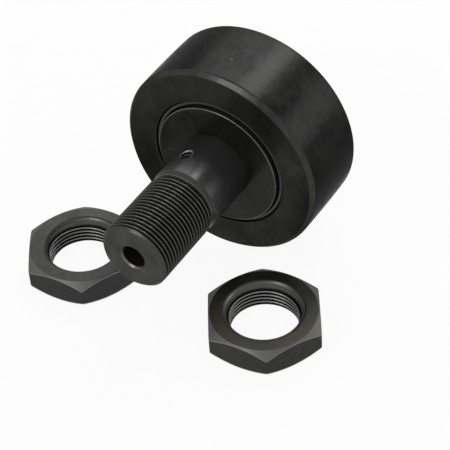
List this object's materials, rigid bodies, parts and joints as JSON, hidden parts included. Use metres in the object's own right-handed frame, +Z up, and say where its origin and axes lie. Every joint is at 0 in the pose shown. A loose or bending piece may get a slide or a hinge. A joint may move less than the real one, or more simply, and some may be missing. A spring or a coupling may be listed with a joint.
{
  "type": "stud-type cam follower",
  "caption": "Stud-type cam follower: a sealed needle-bearing roller on a fixed threaded stud, with loose thin hexagon nuts beside it.",
  "frame": {"origin": "on the floor, under the middle of the whole layout's box (roller lying on its rim, nuts flat beside the stud)", "axes": "+X along the stud's axis from the head towards the threaded tip, +Z up, +Y to the left of +X, where the nut_right node lies"},
  "size_m": [0.08, 0.1106, 0.072],
  "materials": {
    "stud_steel": "black-oxide hardened steel, satin, turned",
    "washer_steel": "black-oxide steel, satin, faintly olive",
    "ring_steel": "black-oxide bearing steel, ground, satin",
    "nut_steel": "black-oxide steel, satin to dull",
    "seal_black": "dark moulded sealing ring, slightly glossy",
    "cage_steel": "pressed sheet steel, oiled",
    "needle_steel": "bright ground bearing steel"
  },
  "bodies": {
    "stud_body": {"stud": "stud_steel", "end_washer": "washer_steel"},
    "roller": {"outer_ring": "ring_steel", "stud_side_seal": "seal_black", "head_side_seal": "seal_black"},
    "cage": {"needle_cage": "cage_steel"},
    "nut_right_body": {"nut_right": "nut_steel"},
    "nut_left_body": {"nut_left": "nut_steel"},
    "needle_body_01": {"needle_01": "needle_steel"},
    "needle_body_02": {"needle_02": "needle_steel"},
    "needle_body_03": {"needle_03": "needle_steel"},
    "needle_body_04": {"needle_04": "needle_steel"},
    "needle_body_05": {"needle_05": "needle_steel"},
    "needle_body_06": {"needle_06": "needle_steel"},
    "needle_body_07": {"needle_07": "needle_steel"},
    "needle_body_08": {"needle_08": "needle_steel"},
    "needle_body_09": {"needle_09": "needle_steel"},
    "needle_body_10": {"needle_10": "needle_steel"},
    "needle_body_11": {"needle_11": "needle_steel"},
    "needle_body_12": {"needle_12": "needle_steel"},
    "needle_body_13": {"needle_13": "needle_steel"},
    "needle_body_14": {"needle_14": "needle_steel"},
    "needle_body_15": {"needle_15": "needle_steel"},
    "needle_body_16": {"needle_16": "needle_steel"}
  },
  "joints": [
    {"name": "roller_spin", "type": "hinge", "parent": "stud_body", "child": "roller", "pos_m": [-0.0248, 0.00099, 0.036], "axis": [1, 0, 0], "continuous": true},
    {"name": "cage_spin", "type": "hinge", "parent": "stud_body", "child": "cage", "pos_m": [-0.0248, 0.00099, 0.036], "axis": [1, 0, 0], "continuous": true},
    {"name": "needle_spin_01", "type": "hinge", "parent": "cage", "child": "needle_body_01", "pos_m": [-0.0248, 0.01969, 0.036], "axis": [1, 0, 0], "continuous": true},
    {"name": "needle_spin_02", "type": "hinge", "parent": "cage", "child": "needle_body_02", "pos_m": [-0.0248, 0.01827, 0.04316], "axis": [1, 0, 0], "continuous": true},
    {"name": "needle_spin_03", "type": "hinge", "parent": "cage", "child": "needle_body_03", "pos_m": [-0.0248, 0.01421, 0.04922], "axis": [1, 0, 0], "continuous": true},
    {"name": "needle_spin_04", "type": "hinge", "parent": "cage", "child": "needle_body_04", "pos_m": [-0.0248, 0.00814, 0.05328], "axis": [1, 0, 0], "continuous": true},
    {"name": "needle_spin_05", "type": "hinge", "parent": "cage", "child": "needle_body_05", "pos_m": [-0.0248, 0.00099, 0.0547], "axis": [1, 0, 0], "continuous": true},
    {"name": "needle_spin_06", "type": "hinge", "parent": "cage", "child": "needle_body_06", "pos_m": [-0.0248, -0.00617, 0.05328], "axis": [1, 0, 0], "continuous": true},
    {"name": "needle_spin_07", "type": "hinge", "parent": "cage", "child": "needle_body_07", "pos_m": [-0.0248, -0.01223, 0.04922], "axis": [1, 0, 0], "continuous": true},
    {"name": "needle_spin_08", "type": "hinge", "parent": "cage", "child": "needle_body_08", "pos_m": [-0.0248, -0.01629, 0.04316], "axis": [1, 0, 0], "continuous": true},
    {"name": "needle_spin_09", "type": "hinge", "parent": "cage", "child": "needle_body_09", "pos_m": [-0.0248, -0.01771, 0.036], "axis": [1, 0, 0], "continuous": true},
    {"name": "needle_spin_10", "type": "hinge", "parent": "cage", "child": "needle_body_10", "pos_m": [-0.0248, -0.01629, 0.02884], "axis": [1, 0, 0], "continuous": true},
    {"name": "needle_spin_11", "type": "hinge", "parent": "cage", "child": "needle_body_11", "pos_m": [-0.0248, -0.01223, 0.02278], "axis": [1, 0, 0], "continuous": true},
    {"name": "needle_spin_12", "type": "hinge", "parent": "cage", "child": "needle_body_12", "pos_m": [-0.0248, -0.00617, 0.01872], "axis": [1, 0, 0], "continuous": true},
    {"name": "needle_spin_13", "type": "hinge", "parent": "cage", "child": "needle_body_13", "pos_m": [-0.0248, 0.00099, 0.0173], "axis": [1, 0, 0], "continuous": true},
    {"name": "needle_spin_14", "type": "hinge", "parent": "cage", "child": "needle_body_14", "pos_m": [-0.0248, 0.00814, 0.01872], "axis": [1, 0, 0], "continuous": true},
    {"name": "needle_spin_15", "type": "hinge", "parent": "cage", "child": "needle_body_15", "pos_m": [-0.0248, 0.01421, 0.02278], "axis": [1, 0, 0], "continuous": true},
    {"name": "needle_spin_16", "type": "hinge", "parent": "cage", "child": "needle_body_16", "pos_m": [-0.0248, 0.01827, 0.02884], "axis": [1, 0, 0], "continuous": true},
    {"name": "nut_right_lift", "type": "slide", "parent": "stud_body", "child": "nut_right_body", "axis": [0, 0, 1], "range_m": [0, 0.06]},
    {"name": "nut_left_lift", "type": "slide", "parent": "stud_body", "child": "nut_left_body", "axis": [0, 0, 1], "range_m": [0, 0.06]}
  ],
  "couplings": [
    {"joint": "cage_spin", "follows": "roller_spin", "ratio": 0.56551},
    {"joint": "needle_spin_01", "follows": "roller_spin", "ratio": 3.7508},
    {"joint": "needle_spin_02", "follows": "roller_spin", "ratio": 3.7508},
    {"joint": "needle_spin_03", "follows": "roller_spin", "ratio": 3.7508},
    {"joint": "needle_spin_04", "follows": "roller_spin", "ratio": 3.7508},
    {"joint": "needle_spin_05", "follows": "roller_spin", "ratio": 3.7508},
    {"joint": "needle_spin_06", "follows": "roller_spin", "ratio": 3.7508},
    {"joint": "needle_spin_07", "follows": "roller_spin", "ratio": 3.7508},
    {"joint": "needle_spin_08", "follows": "roller_spin", "ratio": 3.7508},
    {"joint": "needle_spin_09", "follows": "roller_spin", "ratio": 3.7508},
    {"joint": "needle_spin_10", "follows": "roller_spin", "ratio": 3.7508},
    {"joint": "needle_spin_11", "follows": "roller_spin", "ratio": 3.7508},
    {"joint": "needle_spin_12", "follows": "roller_spin", "ratio": 3.7508},
    {"joint": "needle_spin_13", "follows": "roller_spin", "ratio": 3.7508},
    {"joint": "needle_spin_14", "follows": "roller_spin", "ratio": 3.7508},
    {"joint": "needle_spin_15", "follows": "roller_spin", "ratio": 3.7508},
    {"joint": "needle_spin_16", "follows": "roller_spin", "ratio": 3.7508}
  ]
}
